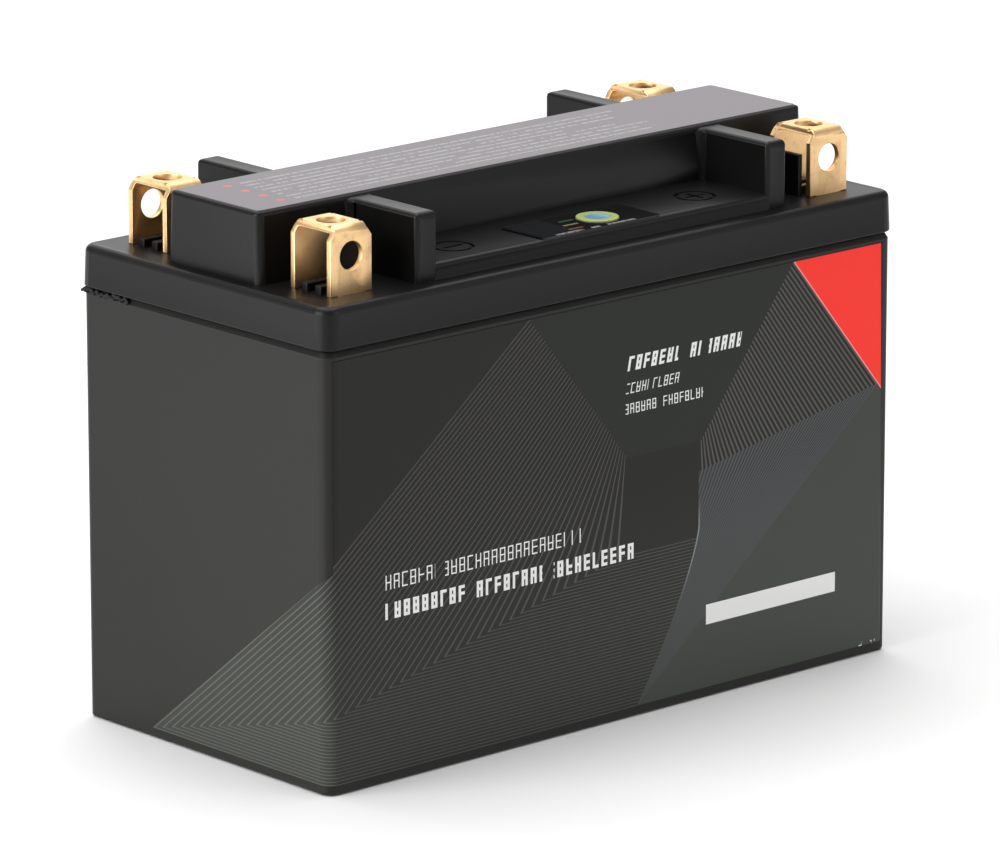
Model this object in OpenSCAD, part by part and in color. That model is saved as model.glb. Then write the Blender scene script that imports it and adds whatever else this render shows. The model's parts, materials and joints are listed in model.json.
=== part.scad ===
// Lithium motorcycle battery: a moulded case with a welded lid, four brass terminal brackets, a charge
// indicator with a test button, and the cells and balancing electronics inside.
// Origin: centre of the footprint on the face it stands on. +X runs along the long side to the positive
// terminals, +Y to the rear and +Z up. Millimetres.

/* [Case] */
// Length of the case below the lid
case_l = 175; // [174:0.2:180]
// Width of the case below the lid
case_w = 85.2; // [84.4:0.2:88]
// Height of the case up to its shoulder
case_h = 100.7; // [100.4:0.1:110]
// Wall thickness
wall = 3; // [2.6:0.1:3]
// Radius of the case's upright corners
corner_r = 3; // [2.4:0.1:3.6]
// Height of the shoulder under the lid
shoulder_h = 1.2; // [0.8:0.1:1.6]
// Inset of the shoulder from the case's face
shoulder_inset = 0.8; // [0.6:0.1:1]
// Inset of the neck that the lid fits over
neck_inset = 1.5; // [1.2:0.1:1.6]

/* [Lid] */
// How far the lid stands out from the case on each side
overhang = 0.8; // [0.4:0.1:1.2]
// Shadow gap between the shoulder and the lid's lower edge
seam_gap = 0.5; // [0.3:0.1:0.8]
// Height of the lid's skirt
skirt_h = 9.7; // [9:0.1:12]
// Thickness of the lid's plate
plate_t = 3; // [2.4:0.1:3]
// Thickness of the ridge's and the bays' walls
shell_t = 2.5; // [2:0.1:2.6]
// Length of the raised ridge
ridge_l = 168; // [166:0.5:170]
// Width of the raised ridge
ridge_w = 31; // [30:0.2:32]
// Height of the ridge above the terminal pockets
ridge_h = 16.5; // [15.6:0.1:18]
// Distance of the cross ribs from the middle
rib_x = 54.1; // [53.5:0.1:55]
// Thickness of a cross rib
rib_t = 6.1; // [5:0.1:6.4]
// How far the ribs and bays reach from the middle
rib_reach = 38.2; // [37.8:0.1:38.6]
// How much lower than the ridge the ribs are
rib_drop = 0.6; // [0.2:0.1:1.2]
// Height of the bay floors above the terminal pockets
bay_h = 3.8; // [3.4:0.05:4.5]

/* [Terminals] */
// Distance of the terminals from the middle, along the case
terminal_x = 73.8; // [73.4:0.1:74.2]
// Distance of the terminals from the middle, across the case
terminal_y = 28.4; // [28.2:0.05:28.6]
// Width of a terminal bracket
bracket_w = 12; // [11:0.1:12.4]
// Depth of a terminal bracket over both plates
bracket_d = 13.7; // [13:0.1:14]
// Height of a terminal bracket above the lid
bracket_h = 15.7; // [15:0.1:16.5]
// Thickness of the brass
bracket_t = 1.5; // [1.2:0.1:1.6]
// Radius of the bolt holes
hole_r = 3.3; // [3.1:0.05:3.5]
// Depth of the side hole's centre below the bracket's top
side_hole_drop = 7; // [6.5:0.1:7.5]

/* [Charge indicator] */
// Length of the printed panel
panel_l = 36.4; // [36:0.2:37]
// Width of the printed panel
panel_w = 14.4; // [14:0.2:15]
// Radius of the test button
button_r = 5; // [4.5:0.1:5]
// How far the test button travels
button_travel = 0.5; // [0.3:0.1:0.6]

/* [Labels] */
// Thickness of the printed films
film_t = 0.2; // [0.1:0.05:0.3]

/* [Cells] */
// Thickness of one cell
cell_t = 40; // [38:0.5:40]
// Width of one cell
cell_w = 76; // [74:0.5:77]
// Height of one cell without its posts
cell_h = 84; // [80:0.5:84]

/* [Hidden] */

$fn = 48;

// Faces cut past each other by this much, so that no cut ends on a face
past = 1;
// Room left between pieces that are fitted loosely
ease = 0.1;

// Case and lid levels
cavity_l = case_l - 2 * wall;
cavity_w = case_w - 2 * wall;
shoulder_z = case_h + shoulder_h;
skirt_z = shoulder_z + seam_gap;
neck_l = case_l - 2 * neck_inset;
neck_w = case_w - 2 * neck_inset;
neck_r = corner_r - neck_inset;
pocket_z = skirt_z + skirt_h;
plate_z = pocket_z - plate_t;
sealant_t = 0.6;
neck_z = plate_z - sealant_t;
skirt_ease = 0.25;
lid_l = case_l + 2 * overhang;
lid_w = case_w + 2 * overhang;
ridge_z = pocket_z + ridge_h;
rib_z = ridge_z - rib_drop;
bay_z = pocket_z + bay_h;
bay_under_z = bay_z - shell_t;
ridge_corner_r = 1.2;
inner_corner_r = 1;

// Nut rests on the pocket floor and the stop beside each bracket
nut_rest_w = 2;
nut_rest_h = 2;
nut_rest_pitch = 4.6;
nut_rest_l = 12;
nut_stop_t = 1.3;
nut_stop_w = 9;
nut_stop_h = 10;
nut_stop_x = 66.9;

// Terminal brackets: the plates stand on the lid and narrow tabs go down through it
tab_w = 8;
bracket_z = pocket_z + bracket_h;
bend_r = 1.9;
top_narrowing = 1.4;
narrowing_h = 3;
tab_slot_l = tab_w + 2 * ease;
tab_slot_w = bracket_t + 2 * ease;
plate_inset = bracket_d / 2 - bracket_t / 2;

// Printed panel, its windows and the button, as places on the front bay's floor
panel_x = -0.3;
panel_y = -30.2;
panel_t = 0.3;
panel_z = bay_z + panel_t;
window_l = 4.6;
window_w = 1.2;
window_step_x = -1.5;
window_step_y = -3.4;
window_x = -2.8;
window_y = -27.7;
button_x = 5.2;
button_y = -29.8;
button_z = panel_z + 0.25;
button_flange_r = button_r + 0.6;
button_flange_t = 0.8;
button_hole_r = button_r + 0.3;
flange_top_z = bay_under_z - ease;
flange_z = flange_top_z - button_flange_t;

// Indicator board under the front bay, hung on two bosses
small_board_t = 1.6;
small_board_z = 105.4;
small_board_top = small_board_z + small_board_t;
small_board_l = 42;
small_board_w = 18;
small_board_x = 0;
small_board_y = -27;
boss_r = 2.2;
boss_dx = 16;
boss_y = -21.6;
screw_r = 1;
pilot_r = 1.05;
screw_head_r = 2;
screw_head_h = 1.3;
screw_bite = 5;
switch_s = 6;
switch_h = 3.6;
switch_top = small_board_top + switch_h;
plunger_r = 1.6;
plunger_bore_r = 1.9;
plunger_depth = 0.75;
plunger_bore_depth = plunger_depth + button_travel + 0.2;
led_l = 2;
led_w = 1;
led_h = 0.8;
guide_z = small_board_top + led_h;

// Cell stack
base_pad_t = 2;
base_pad_ease = 0.5;
cell_z = wall + base_pad_t;
cell_top = cell_z + cell_h;
mid_pad_t = 1.5;
cell_pitch = cell_t + mid_pad_t;
stack_half = 1.5 * cell_pitch + cell_t / 2;
end_pad_t = 2.1;
pad_margin = 2;
pad_h = cell_h - 2 * pad_margin;
post_r = 4;
post_h = 3;
post_y = 24;
post_z = cell_top + post_h;
cell_corner_r = 2;
vent_r = 5;
vent_depth = 0.5;
retainer_t = 2;
retainer_z = cell_top + retainer_t;
retainer_l = 165.6;
retainer_w = 76;
window_r = post_r + 1;
pillar_r = 3;
pillar_dx = 48;
pillar_dy = 10;

// Busbars and collectors
strap_w = 12;
strap_t = 1.2;
strap_z = post_z + strap_t;
collector_t = 1.5;
cross_z = 107;
cross_l = 14;
cross_w = 2 * (terminal_y + bracket_d / 2) + 1;
riser_x = 73.6;

// Balance board over the cells
board_z = 100;
board_t = 1.6;
board_top = board_z + board_t;
board_l = 136;
board_w = 56;
pin_r = 0.75;
parts_pitch = 22;
resistor_size = [6.3, 3.2, 0.8];
resistor_y = 18;
transistor_size = [9, 6.5, 2.3];
transistor_y = 10;
chip_size = [10, 10, 1.2];
chip_y = -4;
link_size = [12.7, 2.5];
link_y = small_board_y - 5;

// Printed films
label_right = case_l / 2 - 2.1;
label_left = -case_l / 2 + 1.8;
label_bottom = 2.4;
label_top = case_h - 0.8;
flap_top = 52.8;
flap_reach = 19.4;
top_label_l = ridge_l - 2;
top_label_w = ridge_w - 2;

// A flat rounded rectangle, centred
module rounded_rect(l, w, r) {
    square([l - 2 * r, w], center = true);
    square([l, w - 2 * r], center = true);
    for (x = [-1, 1], y = [-1, 1]) {
        translate([x * (l / 2 - r), y * (w / 2 - r)]) circle(r);
    }
}

// A block with rounded upright corners, from z to z + h
module rounded_block(l, w, z, h, r) {
    translate([0, 0, z]) linear_extrude(h) rounded_rect(l, w, r);
}

// A centred box from z to z + h
module block(l, w, z, h) {
    translate([-l / 2, -w / 2, z]) cube([l, w, h]);
}

// A flat strap with round ends between two points, from z to z + t
module strap(a, b, w, z, t) {
    middle = (a + b) / 2;
    reach = b - a;
    turn = atan2(reach[1], reach[0]);
    translate([middle[0], middle[1], z]) rotate([0, 0, turn]) linear_extrude(t) {
        square([norm(reach), w], center = true);
        for (s = [-1, 1]) {
            translate([s * norm(reach) / 2, 0]) circle(w / 2);
        }
    }
}

// A small pan-head screw whose head sits on z and whose shank points up or down
module screw(z, shank, up) {
    dir = up ? 1 : -1;
    translate([0, 0, z]) mirror([0, 0, up ? 0 : 1]) {
        translate([0, 0, -screw_head_h]) cylinder(h = screw_head_h, r = screw_head_r);
        cylinder(h = shank, r = screw_r);
    }
}

// Moulded case with an open top, a shoulder and the neck that the lid fits over
module case() {
    color([0.16, 0.16, 0.15]) difference() {
        union() {
            rounded_block(case_l, case_w, 0, case_h, corner_r);
            rounded_block(case_l - 2 * shoulder_inset, case_w - 2 * shoulder_inset, case_h, shoulder_h,
                corner_r - shoulder_inset);
            rounded_block(neck_l, neck_w, case_h, neck_z - case_h, neck_r);
        }
        rounded_block(cavity_l, cavity_w, wall, neck_z, inner_corner_r);
    }
}

// The lid's outside: skirt, ridge, cross ribs and the two raised bays
module lid_outside() {
    rounded_block(lid_l, lid_w, skirt_z, skirt_h, corner_r + overhang);
    rounded_block(ridge_l, ridge_w, plate_z, ridge_z - plate_z, ridge_corner_r);
    for (s = [-1, 1]) {
        translate([s * rib_x, 0, 0]) {
            rounded_block(rib_t, 2 * rib_reach, plate_z, rib_z - plate_z, ridge_corner_r);
        }
    }
    block(2 * rib_x, 2 * rib_reach, plate_z, bay_z - plate_z);
}

// The hollow under the ridge and the bays, and the recess that fits over the case's neck
module lid_inside() {
    low_z = plate_z - past;
    bay_l = 2 * (rib_x - rib_t / 2 - shell_t);
    bay_w = 2 * (rib_reach - shell_t);
    hollow_l = ridge_l - 2 * shell_t;
    hollow_w = ridge_w - 2 * shell_t;
    socket_l = neck_l + 2 * skirt_ease;
    socket_w = neck_w + 2 * skirt_ease;
    rounded_block(socket_l, socket_w, skirt_z - past, plate_z - skirt_z + past, neck_r + skirt_ease);
    rounded_block(hollow_l, hollow_w, low_z, ridge_z - shell_t - low_z, inner_corner_r);
    rounded_block(bay_l, bay_w, low_z, bay_under_z - low_z, inner_corner_r);
}

// Two nut rests and a nut stop beside the bracket at the right front
module nut_rests() {
    for (s = [-1, 1]) {
        translate([terminal_x, -terminal_y + s * nut_rest_pitch / 2, 0]) {
            block(nut_rest_l, nut_rest_w, pocket_z - past, nut_rest_h + past);
        }
    }
    translate([nut_stop_x, -terminal_y, 0]) {
        block(nut_stop_t, nut_stop_w, pocket_z - past, nut_stop_h + past);
    }
}

// The slots that the tabs of the bracket at the right front go through
module tab_slots() {
    for (s = [-1, 1]) {
        translate([terminal_x, -terminal_y + s * plate_inset, 0]) {
            block(tab_slot_l, tab_slot_w, plate_z - past, plate_t + 2 * past);
        }
    }
}

// Repeats a shape of the right front corner at all four corners
module four_corners() {
    for (x = [0, 1], y = [0, 1]) {
        mirror([x, 0, 0]) mirror([0, y, 0]) children();
    }
}

module window_places() {
    for (i = [0:2]) {
        translate([window_x + i * window_step_x, window_y + i * window_step_y, 0]) children();
    }
}

module boss_places() {
    for (s = [-1, 1]) {
        translate([small_board_x + s * boss_dx, boss_y, 0]) children();
    }
}

// Moulded lid with the bosses that carry the indicator board
module lid() {
    color([0.17, 0.16, 0.16]) difference() {
        union() {
            difference() {
                lid_outside();
                lid_inside();
            }
            four_corners() nut_rests();
            boss_places() translate([0, 0, small_board_top]) {
                cylinder(h = bay_under_z - small_board_top + past, r = boss_r);
            }
        }
        four_corners() tab_slots();
        translate([button_x, button_y, bay_under_z - past]) {
            cylinder(h = shell_t + 2 * past, r = button_hole_r);
        }
        window_places() block(window_l, window_w, bay_under_z - past, shell_t + 2 * past);
        boss_places() translate([0, 0, small_board_top - past]) {
            cylinder(h = screw_bite + past, r = pilot_r);
        }
    }
}

// Bead of sealant between the case's neck and the lid's plate
module lid_sealant() {
    color([0.1, 0.1, 0.1]) difference() {
        rounded_block(neck_l, neck_w, neck_z, sealant_t, neck_r);
        rounded_block(cavity_l, cavity_w, neck_z - past, sealant_t + 2 * past, inner_corner_r);
    }
}

// The bracket seen from its open end: two plates joined by a top with rounded bends
module bracket_outline() {
    outer_l = bracket_d / 2 - bend_r;
    inner_l = bracket_d / 2 - bracket_t;
    inner_r = bend_r - bracket_t;
    difference() {
        union() {
            translate([-bracket_d / 2, pocket_z]) square([bracket_d, bracket_h - bend_r]);
            translate([-outer_l, pocket_z]) square([2 * outer_l, bracket_h]);
            for (s = [-1, 1]) {
                translate([s * outer_l, bracket_z - bend_r]) circle(bend_r);
            }
        }
        translate([-inner_l, pocket_z - past]) square([2 * inner_l, bracket_h - bend_r + past]);
        translate([-outer_l, pocket_z - past]) square([2 * outer_l, bracket_h - bracket_t + past]);
        for (s = [-1, 1]) {
            translate([s * outer_l, bracket_z - bend_r]) circle(inner_r);
        }
    }
}

// The bracket seen from the front: full width below, narrower over the bends
module bracket_front() {
    half = bracket_w / 2;
    top_half = half - top_narrowing;
    polygon([
        [-half, pocket_z], [half, pocket_z], [half, bracket_z - narrowing_h],
        [top_half, bracket_z - narrowing_h / 3], [top_half, bracket_z + past],
        [-top_half, bracket_z + past], [-top_half, bracket_z - narrowing_h / 3],
        [-half, bracket_z - narrowing_h]
    ]);
}

// Bent brass bracket with a bolt hole in its top and one in its outer plate, for the right front corner
module terminal() {
    tab_z = cross_z + collector_t;
    color([0.85, 0.68, 0.4]) translate([terminal_x, -terminal_y, 0]) difference() {
        union() {
            intersection() {
                rotate([90, 0, 90]) linear_extrude(2 * bracket_w, center = true) bracket_outline();
                rotate([90, 0, 0]) linear_extrude(2 * bracket_d, center = true) bracket_front();
            }
            for (s = [-1, 1]) {
                translate([0, s * plate_inset, 0]) block(tab_w, bracket_t, tab_z, pocket_z - tab_z);
            }
        }
        translate([0, 0, bracket_z - 2 * bracket_t]) cylinder(h = 3 * bracket_t, r = hole_r);
        translate([0, -plate_inset + bracket_t, bracket_z - side_hole_drop]) {
            rotate([90, 0, 0]) cylinder(h = 3 * bracket_t, r = hole_r);
        }
    }
}

module terminal_front_right() {
    terminal();
}

module terminal_front_left() {
    mirror([1, 0, 0]) terminal();
}

module terminal_rear_right() {
    mirror([0, 1, 0]) terminal();
}

module terminal_rear_left() {
    mirror([1, 0, 0]) mirror([0, 1, 0]) terminal();
}

// Printed film on the front face, with a flap that turns round the left corner
module front_label() {
    half_w = case_w / 2;
    deep = 2 * past;
    color([0.2, 0.22, 0.22]) intersection() {
        difference() {
            rounded_block(case_l + 2 * film_t, case_w + 2 * film_t, 0, case_h, corner_r + film_t);
            rounded_block(case_l, case_w, -past, case_h + 2 * past, corner_r);
        }
        union() {
            translate([label_left, -half_w - deep, label_bottom]) {
                cube([label_right - label_left, deep + past, label_top - label_bottom]);
            }
            translate([-case_l / 2 - deep, 0, 0]) rotate([90, 0, 90]) linear_extrude(deep + corner_r) {
                polygon([
                    [-half_w - deep, label_bottom], [flap_reach, label_bottom], [-half_w - deep, flap_top]
                ]);
            }
        }
    }
}

// Printed film on the ridge
module top_label() {
    color([0.35, 0.34, 0.36]) rounded_block(top_label_l, top_label_w, ridge_z, film_t, 1);
}

// Printed panel on the front bay, cut out for the button and the three windows
module indicator_panel() {
    color([0.05, 0.05, 0.06]) difference() {
        translate([panel_x, panel_y, 0]) rounded_block(panel_l, panel_w, bay_z, panel_t, 0.5);
        translate([button_x, button_y, bay_z - past]) cylinder(h = panel_t + 2 * past, r = button_hole_r);
        window_places() block(window_l, window_w, bay_z - past, panel_t + 2 * past);
    }
}

// Clear light guide from a charge light up to the panel's face
module charge_window(i) {
    translate([window_x + i * window_step_x, window_y + i * window_step_y, 0]) {
        block(window_l - 2 * ease, window_w - 2 * ease, guide_z, panel_z - guide_z);
    }
}

module charge_window_green() {
    color([0.15, 0.6, 0.25]) charge_window(0);
}

module charge_window_yellow() {
    color([0.8, 0.75, 0.2]) charge_window(1);
}

module charge_window_red() {
    color([0.7, 0.12, 0.1]) charge_window(2);
}

// Round button with a flange that holds it under the lid
module test_button() {
    color([0.75, 0.85, 0.45]) translate([button_x, button_y, 0]) {
        translate([0, 0, flange_z]) cylinder(h = button_z - flange_z, r = button_r);
        translate([0, 0, flange_z]) cylinder(h = button_flange_t, r = button_flange_r);
    }
}

// The switch's sprung plunger, pushed by the button
module switch_plunger() {
    low = switch_top - plunger_depth;
    color([0.1, 0.1, 0.1]) translate([button_x, button_y, low]) {
        cylinder(h = flange_z - low, r = plunger_r);
    }
}

// Body of the push switch on the indicator board
module test_switch() {
    color([0.6, 0.6, 0.62]) translate([button_x, button_y, 0]) difference() {
        block(switch_s, switch_s, small_board_top, switch_h);
        translate([0, 0, switch_top - plunger_bore_depth]) {
            cylinder(h = plunger_bore_depth + past, r = plunger_bore_r);
        }
    }
}

// Board that carries the charge lights and the switch
module indicator_board() {
    color([0.05, 0.3, 0.15]) difference() {
        translate([small_board_x, small_board_y, 0]) {
            block(small_board_l, small_board_w, small_board_z, small_board_t);
        }
        boss_places() translate([0, 0, small_board_z - past]) {
            cylinder(h = small_board_t + 2 * past, r = pilot_r);
        }
    }
}

// The three charge lights under their windows
module indicator_leds() {
    color([0.9, 0.9, 0.8]) window_places() block(led_l, led_w, small_board_top, led_h);
}

// The two screws that hold the indicator board to the lid
module indicator_screws() {
    color([0.7, 0.7, 0.72]) boss_places() screw(small_board_z, small_board_t + screw_bite - past, true);
}

// Pin header that joins the balance board to the indicator board
module board_link() {
    color([0.08, 0.08, 0.08]) translate([small_board_x, link_y, 0]) {
        block(link_size[0], link_size[1], board_top, small_board_z - board_top);
    }
}

module pillar_places() {
    for (x = [-1, 1], y = [-1, 1]) {
        translate([x * pillar_dx, y * pillar_dy, 0]) children();
    }
}

// Board that balances the cells
module balance_board() {
    color([0.05, 0.3, 0.15]) difference() {
        block(board_l, board_w, board_z, board_t);
        pillar_places() translate([0, 0, board_z - past]) cylinder(h = board_t + 2 * past, r = pilot_r);
    }
}

// Two rows of resistors that bleed the fullest cells
module balance_resistors() {
    color([0.12, 0.12, 0.14]) for (i = [-1.5:1.5], s = [-1, 1]) {
        translate([i * parts_pitch, s * resistor_y, 0]) {
            block(resistor_size[0], resistor_size[1], board_top, resistor_size[2]);
        }
    }
}

// One transistor for each cell
module balance_transistors() {
    color([0.1, 0.1, 0.12]) for (i = [-1.5:1.5]) {
        translate([i * parts_pitch, transistor_y, 0]) {
            block(transistor_size[0], transistor_size[1], board_top, transistor_size[2]);
        }
    }
}

// Chip that measures the cells
module control_chip() {
    color([0.1, 0.1, 0.12]) translate([0, chip_y, 0]) {
        block(chip_size[0], chip_size[1], board_top, chip_size[2]);
    }
}

// The four screws that hold the balance board to the retainer
module balance_screws() {
    color([0.7, 0.7, 0.72]) pillar_places() screw(board_top, board_t + screw_bite - past, false);
}

// Centres of the points where the board measures the string, with the height of each strap
function sense_points() = [
    [-1.5 * cell_pitch, -post_y, post_z + collector_t],
    [-cell_pitch, post_y, strap_z],
    [0, -post_y, strap_z],
    [cell_pitch, post_y, strap_z],
    [1.5 * cell_pitch, -post_y, post_z + collector_t]
];

// Pins from the straps up to the balance board
module sense_pins() {
    color([0.8, 0.65, 0.35]) for (p = sense_points()) {
        translate(p) cylinder(h = board_z - p[2], r = pin_r);
    }
}

// Prismatic cell with two posts and a vent between them
module cell(i) {
    color([0.15, 0.3, 0.55]) translate([(i - 2.5) * cell_pitch, 0, 0]) difference() {
        union() {
            rounded_block(cell_t, cell_w, cell_z, cell_h, cell_corner_r);
            for (s = [-1, 1]) {
                translate([0, s * post_y, cell_top]) cylinder(h = post_h, r = post_r);
            }
        }
        translate([0, 0, cell_top - vent_depth]) cylinder(h = vent_depth + past, r = vent_r);
    }
}

module cell_1() {
    cell(1);
}

module cell_2() {
    cell(2);
}

module cell_3() {
    cell(3);
}

module cell_4() {
    cell(4);
}

// Foam pad between two cells or beside the stack
module foam_pad(x, t) {
    color([0.3, 0.3, 0.32]) translate([x, 0, 0]) {
        block(t, cell_w - 2 * pad_margin, cell_z + pad_margin, pad_h);
    }
}

module cell_pad_1() {
    foam_pad(-cell_pitch, mid_pad_t);
}

module cell_pad_2() {
    foam_pad(0, mid_pad_t);
}

module cell_pad_3() {
    foam_pad(cell_pitch, mid_pad_t);
}

module end_pad_left() {
    foam_pad(-stack_half - end_pad_t / 2, end_pad_t);
}

module end_pad_right() {
    foam_pad(stack_half + end_pad_t / 2, end_pad_t);
}

// Foam sheet under the cells
module base_pad() {
    color([0.3, 0.3, 0.32]) {
        block(cavity_l - 2 * base_pad_ease, cavity_w - 2 * base_pad_ease, wall, base_pad_t);
    }
}

// Moulded plate that holds the cells down, with round windows for their posts and pillars for the board
module cell_retainer() {
    color([0.75, 0.75, 0.72]) difference() {
        union() {
            rounded_block(retainer_l, retainer_w, cell_top, retainer_t, inner_corner_r);
            pillar_places() translate([0, 0, cell_top]) cylinder(h = board_z - cell_top, r = pillar_r);
        }
        for (i = [1:4], s = [-1, 0, 1]) {
            translate([(i - 2.5) * cell_pitch, s * post_y, cell_top - past]) {
                cylinder(h = retainer_t + 2 * past, r = window_r);
            }
        }
        pillar_places() translate([0, 0, board_z - screw_bite]) {
            cylinder(h = screw_bite + past, r = pilot_r);
        }
    }
}

// Copper link between two neighbouring cells
module busbar(i) {
    y = i == 2 ? -post_y : post_y;
    color([0.75, 0.45, 0.3]) {
        strap([(i - 2.5) * cell_pitch, y], [(i - 1.5) * cell_pitch, y], strap_w, post_z, strap_t);
    }
}

module busbar_1() {
    busbar(1);
}

module busbar_2() {
    busbar(2);
}

module busbar_3() {
    busbar(3);
}

// Copper collector from an end cell's post up to the two brackets at the right-hand end
module collector() {
    post_x = 1.5 * cell_pitch;
    color([0.75, 0.45, 0.3]) {
        strap([post_x, -post_y], [riser_x - strap_w / 2, -post_y], strap_w, post_z, collector_t);
        translate([riser_x - strap_w / 2, -post_y - strap_w / 2, post_z]) {
            cube([strap_w / 2 + collector_t / 2, strap_w, collector_t]);
        }
        translate([riser_x, -post_y, 0]) block(collector_t, strap_w, post_z, cross_z - post_z);
        translate([terminal_x, 0, 0]) block(cross_l, cross_w, cross_z, collector_t);
    }
}

module positive_collector() {
    collector();
}

module negative_collector() {
    mirror([1, 0, 0]) collector();
}

case();
lid();
lid_sealant();
terminal_front_left();
terminal_front_right();
terminal_rear_left();
terminal_rear_right();
front_label();
top_label();
indicator_panel();
charge_window_green();
charge_window_yellow();
charge_window_red();
test_button();
switch_plunger();
test_switch();
indicator_board();
indicator_leds();
indicator_screws();
board_link();
balance_board();
balance_resistors();
balance_transistors();
control_chip();
balance_screws();
sense_pins();
cell_1();
cell_2();
cell_3();
cell_4();
cell_pad_1();
cell_pad_2();
cell_pad_3();
end_pad_left();
end_pad_right();
base_pad();
cell_retainer();
busbar_1();
busbar_2();
busbar_3();
negative_collector();
positive_collector();
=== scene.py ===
"""Motorcycle battery: visible pieces, finishes and a plain studio around the frame."""

import json
import math

import bpy
from bpy.props import FloatProperty, FloatVectorProperty, PointerProperty
from mathutils import Matrix, Vector


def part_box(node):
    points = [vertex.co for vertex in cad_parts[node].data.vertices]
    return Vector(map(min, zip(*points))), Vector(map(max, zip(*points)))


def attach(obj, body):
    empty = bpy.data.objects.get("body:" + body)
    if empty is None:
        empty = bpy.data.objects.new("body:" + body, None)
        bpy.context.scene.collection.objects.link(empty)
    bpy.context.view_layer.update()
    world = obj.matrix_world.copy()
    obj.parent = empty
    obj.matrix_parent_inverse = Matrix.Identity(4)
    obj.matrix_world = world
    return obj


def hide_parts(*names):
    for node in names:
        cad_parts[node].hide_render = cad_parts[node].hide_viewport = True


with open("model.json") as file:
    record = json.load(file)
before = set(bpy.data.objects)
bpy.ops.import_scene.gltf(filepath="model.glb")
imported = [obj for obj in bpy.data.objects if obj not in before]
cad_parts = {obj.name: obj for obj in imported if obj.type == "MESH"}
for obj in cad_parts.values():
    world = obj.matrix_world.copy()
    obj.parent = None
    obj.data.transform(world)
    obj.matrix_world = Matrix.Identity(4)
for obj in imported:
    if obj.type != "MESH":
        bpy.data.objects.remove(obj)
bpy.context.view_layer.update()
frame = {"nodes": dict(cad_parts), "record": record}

bl_info = {
    "name": "Motorcycle battery",
    "version": (1, 0, 0),
    "blender": (4, 5, 0),
    "location": "View3D > Sidebar > Battery",
    "description": "Builds the case, lid, brackets, films and button of a motorcycle battery",
    "category": "Object",
}

MM = 0.001
LID_LOW, LID_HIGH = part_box("lid")
CASE_LOW, CASE_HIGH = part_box("case")
FILM_LOW, FILM_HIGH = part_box("front_label")
PANEL_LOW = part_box("indicator_panel")[0]
BUTTON_LOW, BUTTON_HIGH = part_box("test_button")
BUTTON_MIDDLE = (BUTTON_LOW + BUTTON_HIGH) / 2
BRACKET_LOW, BRACKET_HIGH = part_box("terminal_front_right")
BRACKET_MIDDLE = (BRACKET_LOW + BRACKET_HIGH) / 2
WINDOWS = ("charge_window_green", "charge_window_yellow", "charge_window_red")
# Two places closer than this count as one
NEAR = 1e-5
# A face looks along an axis when its normal has more than this along it
FACING = 0.9
UP = Vector((0, 0, 1))
# How deep a raised feature starts inside the lid's plate
ROOT = 0.5 * MM


# --- Sizes and colours


def size(name, default, description):
    """A length in metres."""
    return FloatProperty(
        name=name, description=description, default=default, min=0.0, precision=5, unit="LENGTH"
    )


def sizes(name, default, description):
    """Three lengths in metres."""
    return FloatVectorProperty(
        name=name, description=description, default=default, size=3, min=0.0, precision=5, unit="LENGTH"
    )


def amount(name, default, description, **kind):
    """An angle, a power or another number."""
    return FloatProperty(name=name, description=description, default=default, **kind)


def colour(name, default, description):
    """A linear colour."""
    return FloatVectorProperty(
        name=name, description=description, default=default, size=3, min=0.0, max=1.0, subtype="COLOR"
    )


class CaseSettings(bpy.types.PropertyGroup):
    """Sizes and colour of the case."""

    wall: size("Wall", 0.003, "Thickness of the case's walls")
    corner: size("Wrapped corner", 0.003, "Radius of the upright corner that the film wraps")
    free_corner: size("Free corners", 0.002, "Radius of the other upright corners")
    foot: size("Foot radius", 0.0006, "Rounding where the walls meet the base")
    shoulder_inset: size("Shoulder inset", 0.0008, "How far the shoulder slopes in")
    shoulder_top: size("Shoulder top", 0.1019, "Height of the shoulder's upper edge")
    wall_top: size("Wall top", 0.1007, "Height where the shoulder starts")
    neck_inset: size("Neck inset", 0.0015, "How far the neck stands in from the wall")
    tint: colour("Case colour", (0.013, 0.0122, 0.0115), "Colour of the moulded case")


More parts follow.
